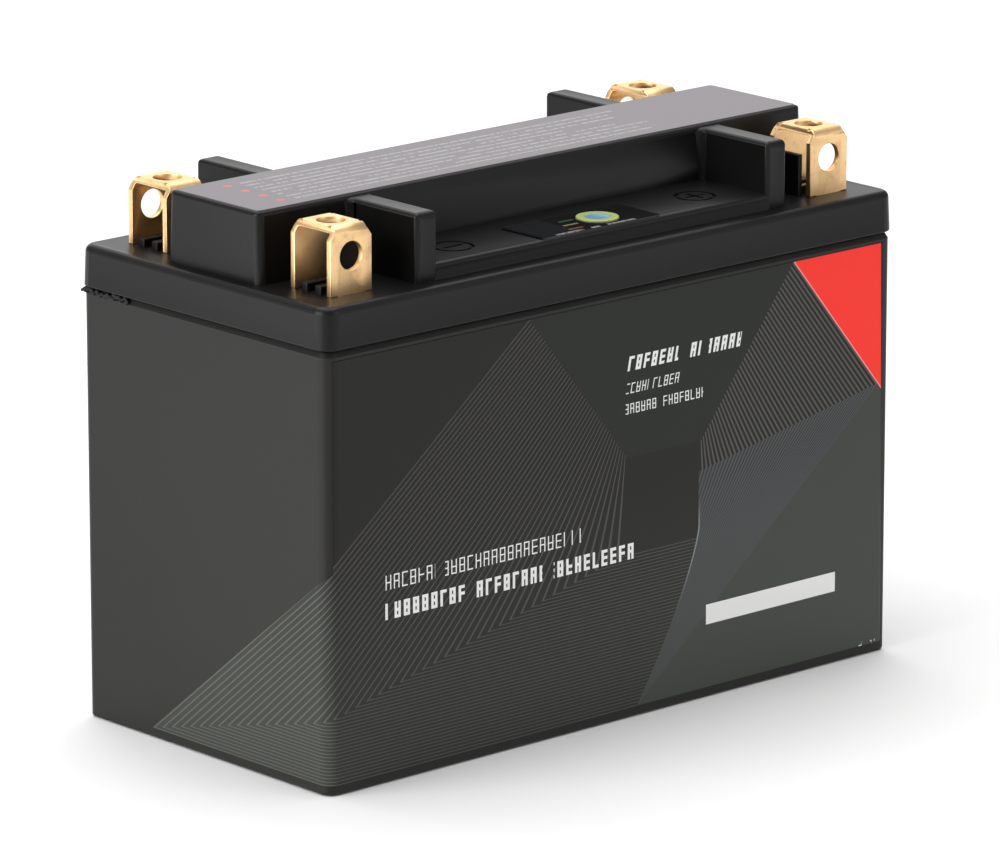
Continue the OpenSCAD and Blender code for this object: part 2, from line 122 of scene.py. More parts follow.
class LidSettings(bpy.types.PropertyGroup):
    """Sizes and colour of the lid."""

    pocket_top: size("Pocket floor", 0.1121, "Height of the lid's flat top")
    ridge_length: size("Ridge length", 0.168, "Length of the raised ridge")
    ridge_width: size("Ridge width", 0.031, "Width of the raised ridge")
    ridge_draft: size("Ridge draft", 0.0007, "How far the ridge's long sides lean in")
    ridge_end_draft: size("Ridge end draft", 0.0003, "How far the ridge's ends lean in")
    skirt_draft: size("Skirt draft", 0.0003, "How far the skirt's sides lean in")
    rib_place: size("Rib place", 0.0541, "Distance of the ribs from the middle")
    rib_width: size("Rib width", 0.0061, "Thickness of a rib")
    rib_reach: size("Rib reach", 0.0382, "How far ribs and bays reach from the middle")
    rib_drop: size("Rib drop", 0.0006, "How much lower than the ridge the ribs are")
    bay_top: size("Bay floor", 0.1159, "Height of the bay floors")
    shell: size("Shell", 0.0025, "Wall thickness of the ridge and the bays")
    plate: size("Plate", 0.003, "Thickness of the lid's plate")
    corner: size("Corner radius", 0.0038, "Radius of the upright corners")
    rim: size("Rim radius", 0.0016, "Rounding of the lid's upper edge")
    seam: size("Seam", 0.0005, "Gap between the case's shoulder and the skirt")
    skirt_edge: size("Skirt edge", 0.0004, "Rounding of the skirt's lower edge")
    socket_play: size("Socket play", 0.00025, "Gap between the case's neck and the lid")
    bay_edge: size("Bay edge", 0.001, "Rounding of a bay's outer edge")
    bay_setback: size("Bay setback", 0.00006, "How far a bay stands behind the ends of its ribs")
    ridge_corner: size("Ridge corner", 0.00175, "Radius of the ridge's upright corners")
    ridge_edge: size("Ridge edge", 0.00095, "Rounding of the ridge's upper edge")
    rib_corner: size("Rib corner", 0.0009, "Rounding of a rib's uprights and upper edges")
    rib_nose: size("Rib nose", 0.0015, "Rounding over the free end of a rib")
    rib_flare: size("Rib flare", 0.0022, "Radius of the hollows where a rib meets the ridge")
    rest: sizes("Nut rest", (0.012, 0.002, 0.002), "Length, width and height of a nut rest")
    rest_spacing: size("Rest spacing", 0.0046, "Distance between the two nut rests")
    stop: sizes("Nut stop", (0.0013, 0.009, 0.01), "Thickness, width and height of the nut stop")
    stop_place: size("Stop place", 0.0069, "Distance of the nut stop from the bracket's middle")
    button_hole: size("Button hole", 0.0053, "Radius of the hole for the button")
    window_play: size("Window play", 0.0001, "Gap round a charge window")
    mark_place: size("Mark place", 0.0375, "Distance of the polarity marks from the middle")
    mark_row: size("Mark row", 0.0281, "How far forward the polarity marks are")
    mark_arm: size("Mark arm", 0.0029, "Half the length of a sign's strokes")
    mark_depth: size("Mark depth", 0.0005, "Depth of the polarity marks")
    mark_radius: size("Mark radius", 0.0045, "Radius of the polarity marks")
    mark_groove: size("Mark groove", 0.0009, "Width of the polarity marks' grooves")
    tint: colour("Lid colour", (0.0065, 0.0061, 0.0060), "Colour of the moulded lid")


class BracketSettings(bpy.types.PropertyGroup):
    """Sizes and colour of the terminal brackets."""

    thickness: size("Thickness", 0.0015, "Thickness of the brass")
    bend: size("Bend radius", 0.0019, "Outer radius of the bends")
    hole: size("Hole radius", 0.0033, "Radius of the bolt holes")
    hole_drop: size("Side hole drop", 0.007, "Depth of the side hole below the top")
    narrowing: size("Narrowing", 0.0014, "How much narrower the top is on each side")
    narrowing_height: size("Narrowing height", 0.003, "Height over which it narrows")
    tab_width: size("Tab width", 0.008, "Width of the tabs that go through the lid")
    edge: size("Edge", 0.00018, "Rounding of the stamped edges")
    notch: size("Notch", 0.0005, "Radius of the relief notches at the bends")
    tint: colour("Brass colour", (0.95, 0.64, 0.33), "Colour of the clean brass")


class ButtonSettings(bpy.types.PropertyGroup):
    """Sizes and colours of the test button."""

    radius: size("Radius", 0.005, "Radius of the button's cap")
    flange_height: size("Flange height", 0.0008, "Height of the flange under the lid")
    ring_width: size("Ring width", 0.0019, "Width of the raised ring")
    ring_step: size("Ring step", 0.00025, "Width of the slope inside the ring")
    dish: size("Dish", 0.00012, "How far the middle lies below the ring")
    edge: size("Edge", 0.00015, "Rounding of the ring's outer edge")
    ring: colour("Ring colour", (0.40, 0.46, 0.15), "Colour of the button's ring")
    centre: colour("Centre colour", (0.16, 0.33, 0.42), "Colour of the button's middle")


class FilmSettings(bpy.types.PropertyGroup):
    """Colours of the printed films."""

    ground: colour("Ground", (0.0098, 0.0092, 0.0083), "Ground of the front film")
    lines: colour("Lines", (0.070, 0.068, 0.061), "Fine lines of the front film")
    upper_panel: colour("Upper panel", (0.0128, 0.0156, 0.0120), "Upper field of the front film")
    lower_panel: colour("Lower panel", (0.045, 0.051, 0.042), "Lower right field")
    corner_panel: colour("Corner panel", (1.0, 0.034, 0.022), "Bright corner of the front film")
    sweep: colour("Sweep", (0.076, 0.080, 0.083), "Fine lines of the sweep")
    ink: colour("Ink", (0.85, 0.85, 0.84), "Light bars on the films")
    ridge_film: colour("Ridge film", (0.165, 0.150, 0.163), "Ground of the film on the ridge")
    dots: colour("Dots", (0.62, 0.09, 0.09), "Four dots on the ridge film")
    panel: colour("Panel", (0.004, 0.004, 0.005), "Ground of the indicator panel")
    stripes: colour("Stripes", (0.03, 0.033, 0.04), "Thin lines of the indicator panel")


class StageSettings(bpy.types.PropertyGroup):
    """Camera, floor and lights."""

    azimuth: amount("Azimuth", math.radians(-42.022), "Angle of the view round the object", subtype="ANGLE")
    elevation: amount("Elevation", math.radians(14.77), "Angle of the view above the floor", subtype="ANGLE")
    distance: size("Distance", 1.71864, "Distance of the camera from the point it looks at")
    aim_side: amount("Aim side", 0.001577, "Sideways place of the aim", unit="LENGTH")
    aim_up: size("Aim height", 0.060933, "Upward place of the aim")
    lens: amount("Lens", 263.41, "Focal length", unit="CAMERA")
    floor: colour("Floor colour", (0.94, 0.94, 0.94), "Colour of the floor")
    world: amount("World", 0.34, "Brightness of the room", min=0.0)
    left_power: amount("Left", 14.0, "Power of the left softbox", unit="POWER")
    top_power: amount("Top", 20.0, "Power of the top softbox", unit="POWER")
    back_power: amount("Back", 10.0, "Power of the back softbox", unit="POWER")
    front_power: amount("Front", 6.0, "Power of the front softbox", unit="POWER")


# --- Modelling helpers


def deselect():
    """Leaves edit mode with nothing selected."""
    if bpy.context.object and bpy.context.object.mode != "OBJECT":
        bpy.ops.object.mode_set(mode="OBJECT")
    bpy.ops.object.select_all(action="DESELECT")


def focus(piece):
    """Leaves only this piece selected, in object mode."""
    deselect()
    piece.select_set(True)
    bpy.context.view_layer.objects.active = piece


def settle():
    """Moves the active object's place, turn and scale into its mesh."""
    bpy.ops.object.transform_apply(location=True, rotation=True, scale=True)
    return bpy.context.object


def block(name, low, high):
    """A block between two corners."""
    deselect()
    low, high = Vector(low), Vector(high)
    bpy.ops.mesh.primitive_cube_add(size=1, location=(low + high) / 2, scale=high - low)
    bpy.context.object.name = name
    return settle()


def round_bar(name, radius, low, high, vertices=64):
    """A cylinder along X, Y or Z between the centres of its two ends."""
    deselect()
    low, high = Vector(low), Vector(high)
    along = high - low
    turn = along.to_track_quat("Z", "Y").to_euler()
    bpy.ops.mesh.primitive_cylinder_add(
        radius=radius, depth=along.length, location=(low + high) / 2, rotation=turn, vertices=vertices
    )
    bpy.context.object.name = name
    return settle()


def pick(piece, kind, test):
    """Opens the piece for editing with only the faces or edges that pass the test selected."""
    focus(piece)
    mesh = piece.data
    for parts in (mesh.vertices, mesh.edges, mesh.polygons):
        parts.foreach_set("select", [False] * len(parts))
    if kind == "FACE":
        for face in mesh.polygons:
            face.select = test(face.center, face.normal)
    else:
        for edge in mesh.edges:
            ends = [mesh.vertices[i].co for i in edge.vertices]
            edge.select = test(*ends)
            for i in edge.vertices:
                mesh.vertices[i].select = mesh.vertices[i].select or edge.select
    bpy.context.tool_settings.mesh_select_mode = (False, kind == "EDGE", kind == "FACE")
    bpy.ops.object.mode_set(mode="EDIT")


def done():
    """Goes back to object mode."""
    bpy.ops.object.mode_set(mode="OBJECT")


def extrude(x=0, y=0, z=0):
    """Extrudes the selected faces by this much."""
    bpy.ops.mesh.extrude_region_move(TRANSFORM_OT_translate={"value": (x, y, z)})


def pull(piece, test, rise):
    """Extrudes the faces that pass the test upwards by rise, or downwards if it is negative."""
    pick(piece, "FACE", test)
    extrude(z=rise)
    done()


def is_upright(a, b):
    """Whether the edge between a and b climbs."""
    return abs(a.z - b.z) > MM


def slice_up(piece, xs, ys):
    """Cuts the piece by upright planes at plus and minus each place."""
    pick(piece, "FACE", lambda centre, normal: True)
    for axis, places in (((1, 0, 0), xs), ((0, 1, 0), ys)):
        for place in places:
            for side in (-1, 1):
                bpy.ops.mesh.select_all(action="SELECT")
                bpy.ops.mesh.bisect(plane_co=Vector(axis) * place * side, plane_no=axis)
    done()


def clean(piece):
    """Joins flat neighbouring faces and doubled vertices, and turns the faces outwards."""
    pick(piece, "FACE", lambda centre, normal: True)
    bpy.ops.mesh.remove_doubles(threshold=1e-6)
    bpy.ops.mesh.dissolve_limited(angle_limit=math.radians(0.2))
    bpy.ops.mesh.select_all(action="SELECT")
    bpy.ops.mesh.normals_make_consistent(inside=False)
    done()


def apply_modifier(piece, kind, **values):
    """Adds a modifier with these settings and applies it."""
    focus(piece)
    modifier = piece.modifiers.new(kind.title(), kind)
    for key, value in values.items():
        setattr(modifier, key, value)
    bpy.ops.object.modifier_apply(modifier=modifier.name)


def combine(piece, other, operation):
    """Joins or cuts the piece with another, which is used up."""
    apply_modifier(piece, "BOOLEAN", object=other, operation=operation, solver="EXACT")
    bpy.data.objects.remove(other)


def gather(name, pieces):
    """Joins pieces into one object."""
    focus(pieces[0])
    for piece in pieces:
        piece.select_set(True)
    bpy.ops.object.join()
    bpy.context.object.name = name
    return bpy.context.object


def smooth(piece, angle=32.0, flat_area=8e-6):
    """Smooth shading on the roundings, and flat shading on the large faces."""
    focus(piece)
    bpy.ops.object.shade_smooth_by_angle(angle=math.radians(angle))
    apply_modifier(piece, "WEIGHTED_NORMAL", keep_sharp=True, weight=100)
    large = {tuple(face.center) for face in piece.data.polygons if face.area > flat_area}
    pick(piece, "FACE", lambda centre, normal: tuple(centre) in large)
    bpy.ops.mesh.faces_shade_flat()
    done()


def edge_key(a, b):
    """Names the edge between a and b, whichever end comes first."""
    return tuple(sorted(tuple(round(c, 6) for c in end) for end in (a, b)))


def round_edges(piece, radii, widest, segments):
    """Rounds edges, each by the radius that radii gives it, in one pass."""
    groups = {}
    for edge in piece.data.edges:
        ends = [piece.data.vertices[i].co for i in edge.vertices]
        radius = radii(*ends)
        if radius:
            groups.setdefault(radius, set()).add(edge_key(*ends))
    for radius, wanted in sorted(groups.items()):
        pick(piece, "EDGE", lambda a, b: edge_key(a, b) in wanted)
        bpy.ops.transform.edge_bevelweight(value=radius / widest)
        done()
    apply_modifier(
        piece, "BEVEL", limit_method="WEIGHT", width=widest, segments=segments,
        use_clamp_overlap=False, loop_slide=True,
    )


def mirrored(piece, name, x, y):
    """A copy of the piece with its own mesh, mirrored across X or Y."""
    focus(piece)
    bpy.ops.object.duplicate()
    copy = bpy.context.object
    copy.name = name
    copy.data.transform(Matrix.Diagonal((x, y, 1, 1)))
    if x * y < 0:
        pick(copy, "FACE", lambda centre, normal: True)
        bpy.ops.mesh.flip_normals()
        done()
    return copy


def dress(piece, finish, slot, body, *nodes):
    """Gives a finished piece its material and body, and hides the nodes it stands for. The slot is not used.
    """
    piece.data.materials.clear()
    piece.data.materials.append(finish)
    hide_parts(*nodes)
    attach(piece, body)


# --- Finishes


class Link:
    """A socket that can stand in a sum, so that shader maths reads as it is written."""

    def __init__(self, finish, socket):
        self.finish = finish
        self.socket = socket

    def maths(self, operation, *values):
        return self.finish.add("ShaderNodeMath", {"operation": operation}, dict(enumerate(values)))

    def __add__(self, other):
        return self.maths("ADD", self, other)

    __radd__ = __add__

    def __sub__(self, other):
        return self.maths("SUBTRACT", self, other)

    def __rsub__(self, other):
        return self.maths("SUBTRACT", other, self)

    def __mul__(self, other):
        return self.maths("MULTIPLY", self, other)

    __rmul__ = __mul__

    def __truediv__(self, other):
        return self.maths("DIVIDE", self, other)

    def __pow__(self, other):
        return self.maths("POWER", self, other)

    def __mod__(self, other):
        return self.maths("FLOORED_MODULO", self, other)

    def __abs__(self):
        return self.maths("ABSOLUTE", self)

    def __lt__(self, other):
        return self.maths("LESS_THAN", self, other)

    def __gt__(self, other):
        return self.maths("GREATER_THAN", self, other)

    def least(self, other):
        return self.maths("MINIMUM", self, other)

    def most(self, other):
        return self.maths("MAXIMUM", self, other)

    def root(self):
        return self.most(0.0).maths("SQRT", self.most(0.0))

    def whole(self):
        return self.maths("FLOOR", self)


class Finish:
    """A procedural material, with short ways to add its nodes."""

    def __init__(self, name):
        self.material = bpy.data.materials.new(name)
        self.material.use_nodes = True
        self.tree = self.material.node_tree
        self.shader = self.tree.nodes["Principled BSDF"]
        self.place = self.add("ShaderNodeTexCoord", output="Object")

    def feed(self, socket, value):
        """Links or sets one socket."""
        if isinstance(value, Link):
            self.tree.links.new(value.socket, socket)
        elif hasattr(value, "__len__"):
            values = tuple(value)
            socket.default_value = values + (1.0,) if len(socket.default_value) > len(values) else values
        else:
            socket.default_value = value

    def add(self, kind, settings=None, inputs=None, output=0):
        """Adds a node with its settings and inputs, and gives one of its outputs."""
        node = self.tree.nodes.new(kind)
        for key, value in (settings or {}).items():
            setattr(node, key, value)
        for key, value in (inputs or {}).items():
            self.feed(node.inputs[key], value)
        return Link(self, node.outputs[output])

    def millimetres(self):
        """The place on the object as three numbers in millimetres."""
        scaled = self.add(
            "ShaderNodeVectorMath", {"operation": "SCALE"}, {"Vector": self.place, "Scale": 1 / MM}
        )
        return [self.add("ShaderNodeSeparateXYZ", None, {0: scaled}, axis) for axis in "XYZ"]

    def noise(self, per_millimetre, detail=2.0):
        """Noise between 0 and 1 with this many lumps in a millimetre."""
        scale = Vector((1, 1, 1)) * per_millimetre / MM
        place = self.add("ShaderNodeMapping", None, {"Vector": self.place, "Scale": scale})
        return self.add("ShaderNodeTexNoise", None, {"Vector": place, "Scale": 1.0, "Detail": detail})

    def fade(self, value, low, high):
        """0 below low, 1 above high and smooth between."""
        ends = {0: value, 1: low, 2: high, 3: 0.0, 4: 1.0}
        return self.add("ShaderNodeMapRange", {"interpolation_type": "SMOOTHSTEP"}, ends)

    def blend(self, share, first, second):
        """A colour between first and second."""
        return self.add("ShaderNodeMix", {"data_type": "RGBA"}, {0: share, 6: first, 7: second}, 2)

    def set(self, **values):
        """Sets the shader's sockets by name, with underscores for spaces."""
        for key, value in values.items():
            self.feed(self.shader.inputs[key.replace("_", " ")], value)

    def grain(self, height, strength, distance):
        """Raises the surface by a height between 0 and 1."""
        bump = self.add(
            "ShaderNodeBump", None, {"Strength": strength, "Distance": distance, "Height": height}
        )
        self.set(Normal=bump)


def shade(tint, factor):
    """A tint made lighter or darker."""
    return tuple(min(1.0, part * factor) for part in tint)


def moulded(name, tint, roughness, metallic=0.0, grain=0.25, coat=0.0, specular=0.5):
    """Moulded or rolled stock with slight mottling and a fine grain."""
    finish = Finish(name)
    cloud = finish.noise(0.04, 3.0)
    fine = finish.noise(2.2, 2.0)
    finish.set(
        Base_Color=finish.blend(cloud, shade(tint, 0.82), shade(tint, 1.2)),
        Roughness=roughness - 0.06 + 0.12 * cloud + 0.05 * (fine - 0.5),
        Metallic=metallic,
        Coat_Weight=coat,
        Specular_IOR_Level=specular,
    )
    finish.grain(fine, grain, 0.04 * MM)
    return finish.material


def brass(name, tint):
    """Stamped and tumbled brass with faint brown tarnish."""
    finish = Finish(name)
    cloud = finish.noise(0.35, 4.0)
    fine = finish.noise(5.0, 2.0)
    tarnish = finish.fade(cloud, 0.50, 0.78)
    finish.set(
        Base_Color=finish.blend(0.55 * tarnish, tint, shade(tint, 0.62)),
        Roughness=0.40 + 0.12 * tarnish + 0.16 * (fine - 0.5),
        Metallic=1.0,
    )
    finish.grain(finish.noise(2.4, 4.0), 0.5, 0.14 * MM)
    return finish.material


def side(u, v, start, end):
    """Positive to the left of the way from start to end."""
    (ax, ay), (bx, by) = start, end
    return (bx - ax) * (v - ay) - (by - ay) * (u - ax)


def distance(u, v, x, y):
    """How far u and v are from a point."""
    return ((u - x) * (u - x) + (v - y) * (v - y)).root()


def ruled(u, v, top, top_end, low, low_end, sense=1):
    """0 to 1 across the lines that join the points of one straight edge to those of another."""
    bx, by = top_end[0] - top[0], top_end[1] - top[1]
    fx, fy = low[0] - top[0], low[1] - top[1]
    gx, gy = low_end[0] - low[0] - bx, low_end[1] - low[1] - by
    qx, qy = u - top[0], v - top[1]
    square = by * gx - bx * gy
    linear = (qx * gy - qy * gx) - (bx * fy - by * fx)
    constant = qx * fy - qy * fx
    inside = linear * linear - 4 * square * constant
    return (sense * inside.root() - linear) / (2 * square)


def either(masks):
    """1 where at least one of the masks is 1."""
    joined = masks[0]
    for mask in masks[1:]:
        joined = joined.most(mask)
    return joined


def bar(u, v, left, right, low, high):
    """1 inside an upright rectangle."""
    across = abs(u - (left + right) / 2) < (right - left) / 2
    up = abs(v - (low + high) / 2) < (high - low) / 2
    return across * up


def mock_words(finish, u, v, low, height, words, weight=0.2, lean=0.0):
    """1 on a line of meaningless strokes that stand in for lettering.

    A letter is a body with a stem at its left, and by chance a right stem, foot, head and belt.
    """
    advance = 0.72 * height
    left_side, right_side = 0.10, 0.78
    slanted = u - lean * (v - low)
    cell = slanted / advance
    across = cell % 1.0
    up = (v - low) / height
    chance = finish.add(
        "ShaderNodeTexWhiteNoise", {"noise_dimensions": "1D"}, {"W": cell.whole() + low}, "Color"
    )
    first, second, third = [
        finish.add("ShaderNodeSeparateColor", None, {0: chance}, part) for part in range(3)
    ]
    body = abs(across - (left_side + right_side) / 2) < (right_side - left_side) / 2
    stem = abs(across - left_side - weight / 2) < weight / 2
    far_stem = (abs(across - right_side + weight / 2) < weight / 2) * (second > 0.45)
    thick = weight * 0.72
    foot = (up < thick) * (first > 0.42)
    head = (up > 1.0 - thick) * (third > 0.35)
    belt = (abs(up - 0.5) < thick / 2) * (second > 0.25)
    strokes = stem.most(far_stem).most(body * foot.most(head).most(belt))
    line = (up > 0.0) * (up < 1.0)
    spans = either([(slanted > left) * (slanted < right) for left, right in words])
    return strokes * line * spans


# Lines of mock words on the front film, in millimetres: foot, height, where each word runs, and
# then the weight and lean of the strokes
FRONT_LINES = (
    (44.9, 3.4, ((-71.0, -56.0), (-53.0, -11.6)), 0.13, 0.0),
    (38.0, 3.8, ((-71.5, -47.0), (-43.5, -23.5), (-20.0, 5.6)), 0.27, 0.0),
    (82.7, 3.4, ((2.2, 18.5), (21.0, 26.0), (28.0, 38.2)), 0.27, 0.2),
    (77.4, 2.4, ((2.2, 9.0), (10.5, 18.8)), 0.15, 0.2),
    (72.6, 2.4, ((2.2, 12.0), (14.0, 26.6)), 0.15, 0.0),
)


def front_film(name, film):
    """Front film: two fans of fine lines, a dark field, a sweep and a bright corner.

    The places are in millimetres, with u to the right along the film and v up.
    """
    finish = Finish(name)
    x, y, z = finish.millimetres()
    u = x - (y - FILM_LOW.y / MM)
    v = z
    foot, head = FILM_LOW.z / MM, FILM_HIGH.z / MM
    step_top = 39.7
    fan_count, wing_count = 46, 44
    fan_share, step_share, wing_share, sweep_share = 0.24, 0.26, 0.42, 0.45
    peak, neck = (-27.5, head), (2.7, 62.4)
    tail, step_end = (-149.4, foot), (2.7, step_top)
    red_start, red_end = (55.3, head), (83.3, 66.0)
    throat, bend = (25.5, 61.6), (25.5, 55.0)
    sweep_foot, sweep_side = (6.2, foot), (5.2, foot)
    curve_top, curve_height, curve_reach = 25.4, 42.0, 19.2
    flap_start, flap_end = -84.0, -88.0
    margin_foot, margin_lean = 83.9, 0.017

    slope = (step_top - foot) / (step_end[0] - tail[0])
    stair = (foot + slope * (u - tail[0])).least(step_top)
    drop = ((curve_height - v) / (curve_height - foot)).most(0.0)
    curve = curve_top - curve_reach * drop ** 1.35

    low_side = (v < stair) * (u < curve)
    fan = (v > stair) * (u < neck[0]) * (side(u, v, peak, tail) > 0.0) * (side(u, v, neck, peak) > 0.0)
    fan_lines = fan * (ruled(u, v, peak, neck, tail, step_end) * fan_count % 1.0 < fan_share)
    step_lines = low_side * ((v - foot) / (step_top - foot) * fan_count % 1.0 < step_share)

    beside = side(u, v, red_end, sweep_foot)
    over_bend = side(u, v, bend, red_end)
    wing = (
        (side(u, v, throat, red_start) < 0.0)
        * (side(u, v, red_start, red_end) < 0.0)
        * (over_bend > 0.0)
        * (u > throat[0])
    )
    wing_rule = ruled(u, v, red_start, throat, red_end, bend, -1)
    wing_lines = wing * (wing_rule * wing_count % 1.0 < wing_share)
    sweep = (beside < 0.0) * (u > curve) * (over_bend < 0.0)
    sweep_rule = ruled(u, v, red_end, bend, sweep_foot, sweep_side, -1)
    sweep_lines = sweep_rule * wing_count % 1.0 < sweep_share
    edge = sweep * (u < curve + 0.45) * finish.fade(v, 50.0, 40.0) * finish.fade(v, 20.0, 38.0)
    upper = (side(u, v, neck, peak) < 0.0) * (side(u, v, throat, red_start) > 0.0) * (v > neck[1])
    lower = (beside > 0.0) * (u > sweep_foot[0])
    corner = (side(u, v, red_start, red_end) > 0.0) * (u > red_start[0])
    margin = u > margin_foot + margin_lean * (head - v)

    shadow = finish.noise(0.05, 2.0)
    ground = finish.blend(shadow, shade(film.ground, 0.9), shade(film.ground, 1.12))
    ground = finish.blend(upper, ground, film.upper_panel)
    ground = finish.blend(lower, ground, film.lower_panel)
    flap = finish.fade(u, flap_start, flap_end)
    ground = finish.blend(flap * low_side.most(fan) * 0.5, ground, film.lower_panel)
    line_tint = finish.blend(flap, film.lines, shade(film.lines, 1.5))
    ground = finish.blend(fan_lines.most(step_lines), ground, line_tint)
    ground = finish.blend(wing_lines, ground, shade(film.lines, 1.2))
    glow = finish.fade(v, 60.0, 36.0)
    sweep_tint = finish.blend(glow, shade(film.sweep, 0.42), shade(film.sweep, 0.62))
    sweep_tint = finish.blend(sweep_lines, sweep_tint, film.sweep)
    sweep_tint = finish.blend(edge * 0.7, sweep_tint, shade(film.sweep, 4.0))
    ground = finish.blend(sweep, ground, sweep_tint)
    # Painted reflection of the floor: the film is blended towards a lighter tone nearer its foot
    ground = finish.blend(finish.fade(v, 60.0, 5.0) * 0.2, ground, shade(film.lower_panel, 1.9))
    ground = finish.blend(corner, ground, film.corner_panel)
    rim = corner * (side(u, v, red_start, red_end) < 14.0)
    ground = finish.blend(rim * 0.35, ground, shade(film.ink, 0.9))
    ground = finish.blend(margin, ground, film.ground)

    chips = (finish.noise(0.9, 1.0) > 0.6) * (v < foot + 0.9) * (u > 78.0) * (u < 83.5)
    wording = [mock_words(finish, u, v, *line) for line in FRONT_LINES]
    ink = either(wording + [bar(u, v, 28.0, 70.0, 17.6, 22.4), chips])
    ground = finish.blend(ink, ground, film.ink)
    finish.set(Base_Color=ground, Roughness=0.34 + 0.08 * shadow, Specular_IOR_Level=0.22)
    finish.grain(finish.noise(1.2, 2.0), 0.12, 0.03 * MM)
    return finish.material


def ridge_film(name, film):
    """Matt film on the ridge with rows of small light dashes and four red dots."""
    finish = Finish(name)
    x, y, _ = finish.millimetres()
    rows, pitch, top, stroke = 8, 2.75, 10.4, 0.34
    start, shortest, spread = -69.0, 20.0, 26.0
    line = (top - y) / pitch
    row = line.whole()
    inside = (abs(line - rows / 2) < rows / 2) * (abs((line % 1.0) - 0.5) < stroke / 2)

    def row_noise(across, down):
        """Noise that changes along the row, and from row to row."""
        place = finish.add("ShaderNodeCombineXYZ", None, {"X": x * across, "Y": row * down})
        return finish.add(
            "ShaderNodeTexNoise", {"noise_dimensions": "2D"}, {"Vector": place, "Scale": 1.0}
        )

    ends = shortest + spread * finish.add(
        "ShaderNodeTexWhiteNoise", {"noise_dimensions": "1D"}, {"W": row + 0.5}, "Value"
    )
    letters, words = row_noise(1.3, 7.3) > 0.43, row_noise(0.12, 3.7) > 0.34
    wording = inside * letters * words * (x > start) * (x < ends)
    dot_x, dot_ys, dot_radius = -72.4, (8.9, 2.6, -3.6, -9.6), 1.1
    dots = either([distance(x, y, dot_x, dot_y) < dot_radius for dot_y in dot_ys])
    cloud = finish.noise(0.05, 3.0)
    ground = finish.blend(cloud, shade(film.ridge_film, 0.88), shade(film.ridge_film, 1.1))
    ground = finish.blend(wording * 0.4, ground, shade(film.ink, 0.6))
    ground = finish.blend(dots * 0.8, ground, film.dots)
    finish.set(Base_Color=ground, Roughness=0.42 + 0.1 * cloud)
    finish.grain(finish.noise(3.0, 2.0), 0.2, 0.04 * MM)
    return finish.material


def panel_film(name, film):
    """Gloss black panel with thin grey lines at its left and a row of small dashes."""
    finish = Finish(name)
    x, y, _ = finish.millimetres()
    left, front = PANEL_LOW.x / MM, PANEL_LOW.y / MM
    stripes = ((y - front) * 0.8 % 1.0) < 0.35
    stripes = stripes * (x < left + 11.5) * (x > left + 1.0)
    words = ((left + 4.7, left + 13.0), (left + 15.5, left + 18.2), (left + 20.7, left + 29.3))
    dashes = mock_words(finish, x, y, front + 0.3, 1.0, words, 0.3)
    cloud = finish.noise(0.3, 2.0)
    ground = finish.blend(stripes * 0.7, film.panel, film.stripes)
    ground = finish.blend(dashes * 0.5, ground, film.ink)
    finish.set(Base_Color=ground, Roughness=0.08 + 0.05 * cloud, Specular_IOR_Level=0.4)
    return finish.material


def button_plastic(name, button):
    """Pale centre in a yellow-green ring."""
    finish = Finish(name)
    x, y, _ = finish.millimetres()
    middle = BUTTON_MIDDLE / MM
    cloud = finish.noise(0.5, 2.0)
    disc = finish.fade(distance(x, y, middle.x, middle.y), 3.3, 2.9)
    ground = finish.blend(cloud, shade(button.ring, 0.9), shade(button.ring, 1.15))
    ground = finish.blend(disc, ground, button.centre)
    finish.set(Base_Color=ground, Roughness=0.25 + 0.1 * cloud)
    return finish.material


def circuit_board(name):
    """Green solder mask with fine lighter tracks."""
    finish = Finish(name)
    x, y, _ = finish.millimetres()
    cloud = finish.noise(0.08, 2.0)
    tracks = ((x + 2.0 * cloud) * 0.7 % 1.0 < 0.22) * (finish.noise(0.1, 1.0) > 0.5)
    ground = finish.blend(cloud, (0.012, 0.10, 0.035), (0.02, 0.15, 0.05))
    ground = finish.blend(tracks * 0.6, ground, (0.04, 0.24, 0.09))
    finish.set(Base_Color=ground, Roughness=0.28 + 0.1 * cloud)
    finish.grain(tracks, 0.2, 0.05 * MM)
    return finish.material


def light_guide(name, tint):
    """Clear coloured plastic, unlit."""
    finish = Finish(name)
    cloud = finish.noise(0.6, 2.0)
    finish.set(
        Base_Color=finish.blend(cloud, shade(tint, 0.8), shade(tint, 1.2)), Roughness=0.3 + 0.1 * cloud
    )
    return finish.material


# --- Operators


